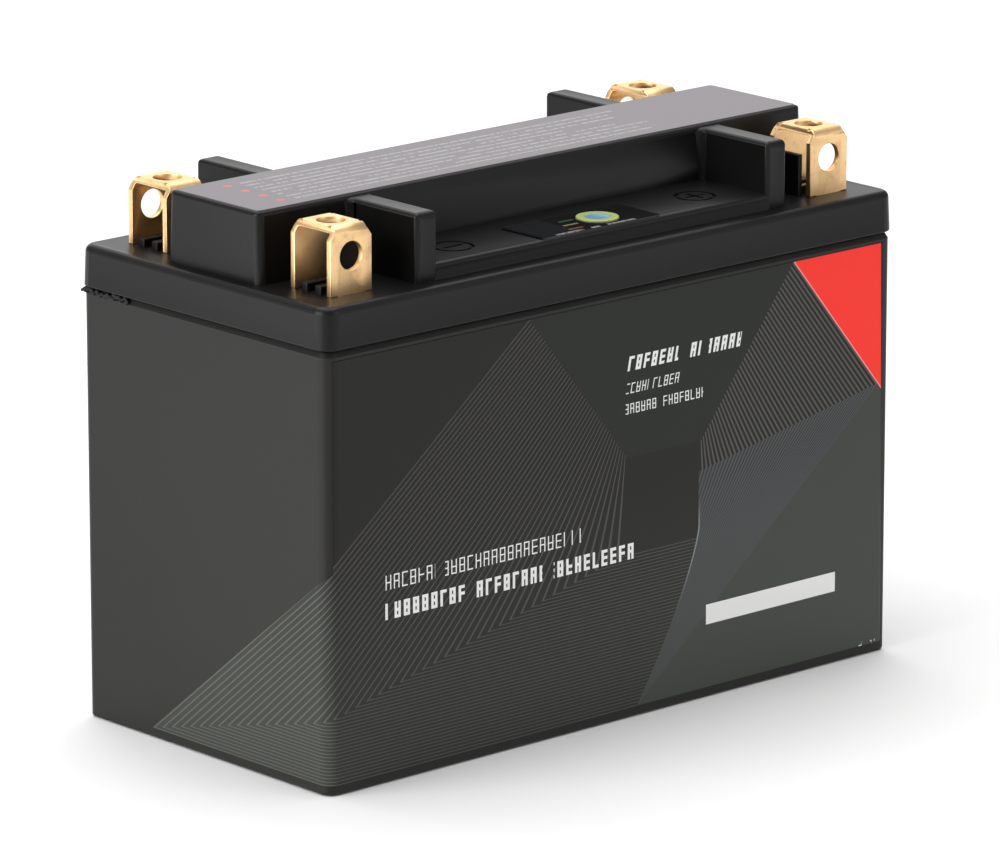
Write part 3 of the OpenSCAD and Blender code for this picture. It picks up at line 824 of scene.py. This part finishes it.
class BATTERY_OT_case(bpy.types.Operator):
    """Moulded case with rounded corners, a shoulder and the neck that the lid fits over"""

    bl_idname = "battery.case"
    bl_label = "Add the case"

    def execute(self, context):
        case = context.scene.battery_case
        left, front = NEAR - CASE_HIGH.x, NEAR - CASE_HIGH.y
        top = case.wall_top
        piece = block("case_shell", CASE_LOW, (CASE_HIGH.x, CASE_HIGH.y, top))

        def is_corner(a, b, wrapped):
            if not is_upright(a, b) or (a - b).xy.length > NEAR:
                return False
            return a.x < left and a.y < front if wrapped else a.x > 0 or a.y > 0

        for radius, wrapped in ((case.corner, True), (case.free_corner, False)):
            pick(piece, "EDGE", lambda a, b: is_corner(a, b, wrapped))
            bpy.ops.mesh.bevel(offset=radius, segments=10, affect="EDGES")
            done()
        pick(piece, "EDGE", lambda a, b: max(a.z, b.z) < CASE_LOW.z + NEAR)
        bpy.ops.mesh.bevel(offset=case.foot, segments=3, affect="EDGES")
        done()
        pick(piece, "FACE", lambda centre, normal: centre.z > top - NEAR)
        bpy.ops.mesh.inset(thickness=case.shoulder_inset, depth=case.shoulder_top - top)
        bpy.ops.mesh.inset(thickness=case.neck_inset - case.shoulder_inset, depth=0)
        extrude(z=CASE_HIGH.z - case.shoulder_top)
        bpy.ops.mesh.inset(thickness=case.wall - case.neck_inset, depth=0)
        extrude(z=case.wall - CASE_HIGH.z)
        done()
        smooth(piece)
        finish = moulded("case plastic", case.tint, 0.40, specular=0.27)
        dress(piece, finish, "case_plastic", "battery", "case")
        return {"FINISHED"}


class BATTERY_OT_lid(bpy.types.Operator):
    """Moulded lid with its ridge, ribs, bays, nut rests, window cuts and polarity marks"""

    bl_idname = "battery.lid"
    bl_label = "Add the lid"

    def execute(self, context):
        lid = context.scene.battery_lid
        case = context.scene.battery_case
        length, width = LID_HIGH.x, LID_HIGH.y
        reach = lid.rib_reach
        bay_reach = reach - lid.bay_setback
        skirt = case.shoulder_top + lid.seam
        piece = block("lid_shell", (-length, -width, skirt), (length, width, lid.pocket_top))
        pick(piece, "EDGE", is_upright)
        bpy.ops.mesh.bevel(offset=lid.corner, segments=8, affect="EDGES")
        done()
        pick(piece, "FACE", lambda centre, normal: normal.z > FACING)
        bpy.ops.transform.resize(value=(1 - lid.skirt_draft / length, 1 - lid.skirt_draft / width, 1))
        done()
        slice_up(piece, (lid.rib_place,), (bay_reach,))
        pull(
            piece,
            lambda c, n: n.z > FACING and abs(c.x) < lid.rib_place and abs(c.y) < bay_reach,
            lid.bay_top - lid.pocket_top,
        )
        clean(piece)

        def is_level(a, b, height):
            return max(abs(a.z - height), abs(b.z - height)) < 2 * NEAR

        def on_outline(point):
            return abs(point.x) > lid.rib_place + 2 * MM or abs(point.y) > reach + 2 * MM

        def radius(a, b):
            if is_level(a, b, lid.pocket_top) and on_outline(a) and on_outline(b):
                return lid.rim
            if is_level(a, b, skirt):
                return lid.skirt_edge
            if is_level(a, b, lid.bay_top) and abs(a.y - b.y) < NEAR:
                return lid.bay_edge
            return 0

        round_edges(piece, radius, lid.rim, 5)
        self.add_ridge(piece, lid)
        self.add_ribs(piece, lid)
        self.hollow_out(piece, lid, case)
        self.add_rests(piece, lid)
        self.cut_holes(piece, lid)
        smooth(piece)
        finish = moulded("lid plastic", lid.tint, 0.36, specular=0.23)
        dress(piece, finish, "lid_plastic", "battery", "lid")
        return {"FINISHED"}

    def add_ridge(self, piece, lid):
        """The ridge along the middle, a little wider at its foot."""
        x, y = lid.ridge_length / 2, lid.ridge_width / 2
        foot_x, foot_y = x + lid.ridge_end_draft, y + lid.ridge_draft
        sunk = lid.pocket_top - ROOT
        ridge = block("ridge", (-foot_x, -foot_y, sunk), (foot_x, foot_y, LID_HIGH.z))
        pick(ridge, "FACE", lambda c, n: n.z > FACING)
        bpy.ops.transform.resize(value=(x / foot_x, y / foot_y, 1))
        done()

        def radius(a, b):
            if is_upright(a, b):
                return lid.ridge_corner
            return lid.ridge_edge if min(a.z, b.z) > LID_HIGH.z - NEAR else 0

        round_edges(ridge, radius, lid.ridge_corner, 6)
        combine(piece, ridge, "UNION")

    def add_ribs(self, piece, lid):
        """Four ribs that flare into the ridge."""
        inner, outer = lid.rib_place - lid.rib_width / 2, lid.rib_place + lid.rib_width / 2
        top = LID_HIGH.z - lid.rib_drop
        overlap, depth, spread = 0.02 * MM, 2.5 * MM, 4 * MM
        root = overlap - lid.ridge_width / 2
        reach = lid.rib_reach
        rib = block("rib", (inner, -reach, lid.pocket_top - ROOT), (outer, root, top))
        pick(rib, "FACE", lambda c, n: n.y > FACING)
        extrude(y=depth)
        done()
        for way in (-1, 1):
            pick(rib, "FACE", lambda c, n: n.x * way > FACING and c.y > root)
            extrude(x=way * spread)
            done()

        def radius(a, b):
            at_top = min(a.z, b.z) > top - NEAR
            if max(a.y, b.y) < MM - reach:
                return lid.rib_corner if is_upright(a, b) else lid.rib_nose if at_top else 0
            if is_upright(a, b):
                turned = abs(a.y - root) < NEAR and inner - MM < a.x < outer + MM
                return lid.rib_flare if turned else 0
            return lid.rib_corner if at_top and max(a.y, b.y) < root + NEAR else 0

        round_edges(rib, radius, lid.rib_flare, 5)
        ribs = [rib] + [mirrored(rib, "rib", x, y) for x, y in ((-1, 1), (1, -1), (-1, -1))]
        for rib in ribs:
            combine(piece, rib, "UNION")

    def hollow_out(self, piece, lid, case):
        """The socket over the case's neck, and the hollows under the bays and the ridge."""
        gap = lid.socket_play - case.neck_inset
        low = LID_LOW.z - MM
        inner = lid.rib_place - lid.rib_width / 2
        wall = lid.shell
        socket = (CASE_HIGH.x + gap, CASE_HIGH.y + gap, lid.pocket_top - lid.plate)
        bays = (inner - wall, lid.rib_reach - wall, lid.bay_top - wall)
        ridge = (lid.ridge_length / 2 - wall, lid.ridge_width / 2 - wall, LID_HIGH.z - wall)
        for x, y, top in (socket, bays, ridge):
            hollow = block("hollow", (-x, -y, low), (x, y, top))
            pick(hollow, "EDGE", is_upright)
            bpy.ops.mesh.bevel(offset=lid.ridge_corner, segments=4, affect="EDGES")
            done()
            combine(piece, hollow, "DIFFERENCE")

    def add_rests(self, piece, lid):
        """Two nut rests and a stop at each bracket."""
        middle = BRACKET_MIDDLE
        offset = lid.rest_spacing / 2
        shapes = ((0, -offset, lid.rest), (0, offset, lid.rest), (-lid.stop_place, 0, lid.stop))
        rests = []
        for x, y in ((-1, -1), (-1, 1), (1, -1), (1, 1)):
            for out, along, shape in shapes:
                centre = Vector((x * (middle.x + out), y * (abs(middle.y) + along), lid.pocket_top))
                half = Vector((shape[0] / 2, shape[1] / 2, 0))
                rest = block("rest", centre - half - ROOT * UP, centre + half + shape[2] * UP)
                apply_modifier(rest, "BEVEL", width=0.3 * MM, segments=2)
                rests.append(rest)
        combine(piece, gather("rests", rests), "UNION")

    def cut_holes(self, piece, lid):
        """The button's hole, the three window cuts and the polarity marks."""
        low, high = (lid.bay_top - lid.shell - MM) * UP, (lid.bay_top + MM) * UP
        middle = BUTTON_MIDDLE.xy.to_3d()
        cuts = [round_bar("cut", lid.button_hole, middle + low, middle + high)]
        play = Vector((lid.window_play, lid.window_play, 0))
        for node in WINDOWS:
            start, end = [corner.xy.to_3d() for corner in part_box(node)]
            cuts.append(block("cut", start - play + low, end + play + high))
        combine(piece, gather("cuts", cuts), "DIFFERENCE")
        floor = (lid.bay_top - lid.mark_depth) * UP
        half, arm = lid.mark_groove / 2, lid.mark_arm
        minus, plus = ((arm, half),), ((arm, half), (half, arm))
        for way, sign in ((-1, minus), (1, plus)):
            centre = Vector((way * lid.mark_place, -lid.mark_row, 0))
            ring = round_bar("ring", lid.mark_radius + half, centre + floor, centre + high)
            core = round_bar("core", lid.mark_radius - half, centre + low, centre + high + MM * UP)
            combine(ring, core, "DIFFERENCE")
            combine(piece, ring, "DIFFERENCE")
            for stroke in sign:
                spread = Vector(stroke).to_3d()
                tool = block("stroke", centre - spread + floor, centre + spread + high)
                combine(piece, tool, "DIFFERENCE")


class BATTERY_OT_seam(bpy.types.Operator):
    """Short run of rough weld flash in the seam under the lid, at the rear left corner"""

    bl_idname = "battery.seam"
    bl_label = "Add the weld flash"

    @staticmethod
    def chance(i, salt):
        """A number between 0 and 1 that looks random but is always the same."""
        return math.sin(i * 12.9898 + salt * 78.233) * 43758.5453 % 1.0

    def execute(self, context):
        lid = context.scene.battery_lid
        # In millimetres: the run along the seam, the lumps' radius, and how far they scatter
        count, start, run, foot = 40, 42.3, 16.5, 101.0
        smallest, growth = 0.30, 0.42
        sideways, upwards, inwards = 0.5, 1.1, 0.3
        lumps = []
        for i in range(count):
            radius = (smallest + growth * self.chance(i, 1)) * MM
            along = start - run * (i / count) - sideways * self.chance(i, 2)
            up = foot + upwards * self.chance(i, 3)
            inset = radius + inwards * MM * self.chance(i, 4)
            place = Vector((LID_LOW.x + inset, along * MM, up * MM))
            deselect()
            bpy.ops.mesh.primitive_ico_sphere_add(radius=radius, subdivisions=2, location=place)
            lumps.append(settle())
        piece = gather("weld_flash", lumps)
        apply_modifier(piece, "REMESH", mode="VOXEL", voxel_size=0.16 * MM)
        smooth(piece, 50.0)
        piece.data.materials.append(moulded("weld flash", lid.tint, 0.5, grain=0.9, specular=0.25))
        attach(piece, "battery")
        return {"FINISHED"}


class BATTERY_OT_brackets(bpy.types.Operator):
    """Four bent brass terminal brackets with a bolt hole in the top and in the outer plate"""

    bl_idname = "battery.brackets"
    bl_label = "Add the terminal brackets"

    def execute(self, context):
        bracket = context.scene.battery_bracket
        foot = context.scene.battery_lid.pocket_top
        piece = self.bend_strip(bracket, foot)
        self.add_tabs(piece, bracket, foot)
        self.narrow_top(piece, bracket)
        self.drill_holes(piece, bracket)
        clean(piece)
        apply_modifier(
            piece, "BEVEL", width=bracket.edge, segments=2, limit_method="ANGLE",
            angle_limit=math.radians(40), use_clamp_overlap=False,
        )
        self.cut_notches(piece, bracket)
        smooth(piece, 35.0)
        finish = brass("brass", bracket.tint)
        for end, x, y in (("front_left", -1, 1), ("rear_right", 1, -1), ("rear_left", -1, -1)):
            copy = mirrored(piece, "bracket_" + end, x, y)
            dress(copy, finish, "brass", "battery", "terminal_" + end)
        piece.name = "bracket_front_right"
        dress(piece, finish, "brass", "battery", "terminal_front_right")
        return {"FINISHED"}

    def bend_strip(self, bracket, foot):
        """A strip of brass bent twice, open at both ends and at the foot."""
        low, high = BRACKET_LOW, BRACKET_HIGH
        piece = block("terminal_bracket", (low.x, low.y, foot), high)
        pick(piece, "FACE", lambda c, n: abs(n.x) > FACING or n.z < -FACING)
        bpy.ops.mesh.delete(type="FACE")
        done()
        pick(piece, "EDGE", lambda a, b: min(a.z, b.z) > high.z - NEAR and abs(a.x - b.x) > MM)
        bpy.ops.mesh.bevel(offset=bracket.bend, segments=7, affect="EDGES")
        done()
        apply_modifier(piece, "SOLIDIFY", thickness=bracket.thickness, offset=-1.0, use_even_offset=True)
        return piece

    def add_tabs(self, piece, bracket, foot):
        """A tab under each leg, through the lid."""
        overlap = 0.2 * MM
        middle, half, thick = BRACKET_MIDDLE, bracket.tab_width / 2, bracket.thickness
        tabs = []
        for way in (-1, 1):
            y = middle.y + way * ((BRACKET_HIGH.y - BRACKET_LOW.y) / 2 - thick / 2)
            low = (middle.x - half, y - thick / 2, BRACKET_LOW.z)
            tabs.append(block("tab", low, (middle.x + half, y + thick / 2, foot + overlap)))
        combine(piece, gather("tabs", tabs), "UNION")

    def narrow_top(self, piece, bracket):
        """Cuts the sides back at the top: straight for a third of the height, and sloping below."""
        low, high = BRACKET_LOW, BRACKET_HIGH
        middle, shoulder, past = BRACKET_MIDDLE.x, bracket.narrowing, 2 * MM
        slope = (2.0 / 3.0) * bracket.narrowing_height / shoulder
        knee = high.z - bracket.narrowing_height / 3
        cuts = []
        for way in (-1, 1):
            half = (high.x - low.x) / 2
            inner, outer = middle + way * (half - shoulder), middle + way * (half + past)
            xs = sorted((inner, outer))
            cut = block("cut", (xs[0], low.y - MM, knee), (xs[1], high.y + MM, high.z + MM))
            pick(
                cut,
                "EDGE",
                lambda a, b: max(a.z, b.z) < knee + NEAR and max(abs(a.x - outer), abs(b.x - outer)) < NEAR,
            )
            bpy.ops.transform.translate(value=(0, 0, -slope * (shoulder + past)))
            done()
            cuts.append(cut)
        for cut in cuts:
            combine(piece, cut, "DIFFERENCE")

    def drill_holes(self, piece, bracket):
        """The bolt holes in the top and in the outer leg."""
        middle, thick = BRACKET_MIDDLE, bracket.thickness
        top, front = BRACKET_HIGH.z, BRACKET_LOW.y
        side_z = top - bracket.hole_drop
        for start, end in (
            ((middle.x, middle.y, top - 2 * thick), (middle.x, middle.y, top + thick)),
            ((middle.x, front - thick, side_z), (middle.x, front + 2 * thick, side_z)),
        ):
            combine(piece, round_bar("drill", bracket.hole, start, end), "DIFFERENCE")

    def cut_notches(self, piece, bracket):
        """Relief notches at the four ends of the bends, just past the roundings."""
        low, high = BRACKET_LOW, BRACKET_HIGH
        sunk, back, past = 0.1 * MM, 0.7 * MM, 2 * MM
        z = high.z - sunk
        for way in (-1, 1):
            for end in (-1, 1):
                x = BRACKET_MIDDLE.x + way * ((high.x - low.x) / 2 - bracket.narrowing)
                y = BRACKET_MIDDLE.y + end * ((high.y - low.y) / 2 - 1.1 * bracket.bend)
                start, stop = (x - way * back, y, z), (x + way * past, y, z)
                combine(piece, round_bar("notch", bracket.notch, start, stop, 16), "DIFFERENCE")


class BATTERY_OT_button(bpy.types.Operator):
    """Round test button with its flange"""

    bl_idname = "battery.button"
    bl_label = "Add the test button"

    def execute(self, context):
        button = context.scene.battery_button
        middle = BUTTON_MIDDLE
        step, top = BUTTON_LOW.z + button.flange_height, BUTTON_HIGH.z
        foot, head = (middle.x, middle.y, step), (middle.x, middle.y, top)
        piece = round_bar("button_cap", button.radius, foot, head, 72)
        pick(piece, "FACE", lambda c, n: n.z < -FACING)
        extrude()
        grow = (BUTTON_HIGH.x - BUTTON_LOW.x) / 2 / button.radius
        bpy.ops.transform.resize(value=(grow, grow, 1))
        extrude(z=-button.flange_height)
        done()
        pick(piece, "FACE", lambda c, n: n.z > FACING and c.z > top - NEAR)
        bpy.ops.mesh.inset(thickness=button.ring_width, depth=0)
        bpy.ops.mesh.inset(thickness=button.ring_step, depth=-button.dish)
        done()

        def is_outer(point):
            return (point - middle).xy.length > button.radius - 0.1 * MM

        pick(piece, "EDGE", lambda a, b: min(a.z, b.z) > top - NEAR and is_outer(a) and is_outer(b))
        bpy.ops.mesh.bevel(offset=button.edge, segments=3, affect="EDGES")
        done()
        smooth(piece, 40.0)
        finish = button_plastic("button plastic", button)
        dress(piece, finish, "button_plastic", "button", "test_button")
        return {"FINISHED"}


class BATTERY_OT_finishes(bpy.types.Operator):
    """Finishes of the films, the windows and everything inside the case"""

    bl_idname = "battery.finishes"
    bl_label = "Finish the films and the inside"

    def execute(self, context):
        film = context.scene.battery_film
        finishes = {
            "sealant": moulded("sealant", (0.02, 0.02, 0.02), 0.6),
            "front_film": front_film("front film", film),
            "top_film": ridge_film("ridge film", film),
            "panel_film": panel_film("panel film", film),
            "green_window": light_guide("green window", (0.012, 0.060, 0.020)),
            "yellow_window": light_guide("yellow window", (0.16, 0.14, 0.035)),
            "red_window": light_guide("red window", (0.12, 0.008, 0.006)),
            "switch_plastic": moulded("switch plastic", (0.03, 0.03, 0.03), 0.45),
            "switch_metal": moulded("tinned steel", (0.6, 0.6, 0.62), 0.3, 1.0),
            "circuit_board": circuit_board("circuit board"),
            "led_resin": moulded("clear resin", (0.85, 0.82, 0.6), 0.2, coat=0.5),
            "chip_resin": moulded("chip resin", (0.02, 0.02, 0.022), 0.5),
            "steel": moulded("zinc plated steel", (0.6, 0.6, 0.6), 0.32, 1.0),
            "foam": moulded("foam", (0.09, 0.09, 0.10), 0.85, grain=0.8),
            "cell_sleeve": moulded("shrink sleeve", (0.03, 0.09, 0.3), 0.28, coat=0.2),
            "retainer_plastic": moulded("moulded nylon", (0.55, 0.54, 0.5), 0.45),
            "copper": moulded("rolled copper", (0.72, 0.38, 0.24), 0.28, 1.0),
            "brass": moulded("pin brass", (0.83, 0.62, 0.34), 0.3, 1.0),
        }
        for part in frame["record"]["subparts"]:
            node = frame["nodes"][part["node"]]
            if node.hide_render:
                continue
            node.data.materials.clear()
            node.data.materials.append(finishes[part["material_slot"]])
        return {"FINISHED"}


class BATTERY_OT_stage(bpy.types.Operator):
    """Pale floor, soft studio light and the camera"""

    bl_idname = "battery.stage"
    bl_label = "Set the stage"

    def execute(self, context):
        stage = context.scene.battery_stage
        deselect()
        bpy.ops.mesh.primitive_plane_add(size=6.0, location=(0, 0, -0.0002))
        floor = context.object
        floor.name = "floor"
        finish = Finish("floor paint")
        cloud = finish.noise(0.01, 2.0)
        finish.set(Base_Color=finish.blend(cloud, shade(stage.floor, 0.985), stage.floor), Roughness=0.9)
        floor.data.materials.append(finish.material)

        world = bpy.data.worlds.new("studio")
        context.scene.world = world
        world.use_nodes = True
        sky = world.node_tree.nodes["Background"]
        sky.inputs["Color"].default_value = (1.0, 1.0, 1.0, 1.0)
        sky.inputs["Strength"].default_value = stage.world

        # The height that the lamps aim at, and each lamp's name, place, width and power
        height = 0.06
        lamps = (
            ("left_softbox", (-1.3, 0.25, 0.45), 1.0, stage.left_power),
            ("top_softbox", (0.1, 0.25, 1.4), 1.6, stage.top_power),
            ("back_softbox", (1.1, 1.6, 0.75), 1.8, stage.back_power),
            ("front_softbox", (0.6, -1.6, 0.7), 1.2, stage.front_power),
        )
        for name, place, width, power in lamps:
            deselect()
            bpy.ops.object.light_add(type="AREA", location=place)
            lamp = context.object
            lamp.name = name
            lamp.data.size = width
            lamp.data.energy = power
            aim = height * UP - Vector(place)
            lamp.rotation_euler = aim.to_track_quat("-Z", "Y").to_euler()

        a, e = stage.azimuth, stage.elevation
        back = Vector((math.sin(a) * math.cos(e), -math.cos(a) * math.cos(e), math.sin(e)))
        right = Vector((math.cos(a), math.sin(a), 0))
        up = back.cross(right)
        deselect()
        bpy.ops.object.camera_add()
        camera = context.object
        camera.name = "camera"
        camera.location = right * stage.aim_side + up * stage.aim_up + back * stage.distance
        camera.rotation_euler = Matrix((right, up, back)).transposed().to_euler()
        camera.data.lens = stage.lens
        camera.data.clip_end = 20.0
        context.scene.camera = camera
        context.scene.view_settings.view_transform = "Standard"
        return {"FINISHED"}


class BATTERY_PT_panel(bpy.types.Panel):
    """Sizes, colours and steps of the battery"""

    bl_idname = "BATTERY_PT_panel"
    bl_label = "Motorcycle battery"
    bl_space_type = "VIEW_3D"
    bl_region_type = "UI"
    bl_category = "Battery"

    def draw(self, context):
        for name, group in GROUPS.items():
            box = self.layout.box()
            settings = getattr(context.scene, name)
            for key in group.__annotations__:
                box.prop(settings, key)
        for operator in STEPS:
            self.layout.operator(operator.bl_idname)


GROUPS = {
    "battery_case": CaseSettings,
    "battery_lid": LidSettings,
    "battery_bracket": BracketSettings,
    "battery_button": ButtonSettings,
    "battery_film": FilmSettings,
    "battery_stage": StageSettings,
}
STEPS = (
    BATTERY_OT_case,
    BATTERY_OT_lid,
    BATTERY_OT_seam,
    BATTERY_OT_brackets,
    BATTERY_OT_button,
    BATTERY_OT_finishes,
    BATTERY_OT_stage,
)
CLASSES = tuple(GROUPS.values()) + STEPS + (BATTERY_PT_panel,)


def register():
    for entry in CLASSES:
        bpy.utils.register_class(entry)
    for name, group in GROUPS.items():
        setattr(bpy.types.Scene, name, PointerProperty(type=group))


def unregister():
    for name in GROUPS:
        delattr(bpy.types.Scene, name)
    for entry in reversed(CLASSES):
        bpy.utils.unregister_class(entry)


def main():
    register()
    for step in STEPS:
        group, name = step.bl_idname.split(".")
        getattr(getattr(bpy.ops, group), name)()
    deselect()


if __name__ == "__main__":
    main()
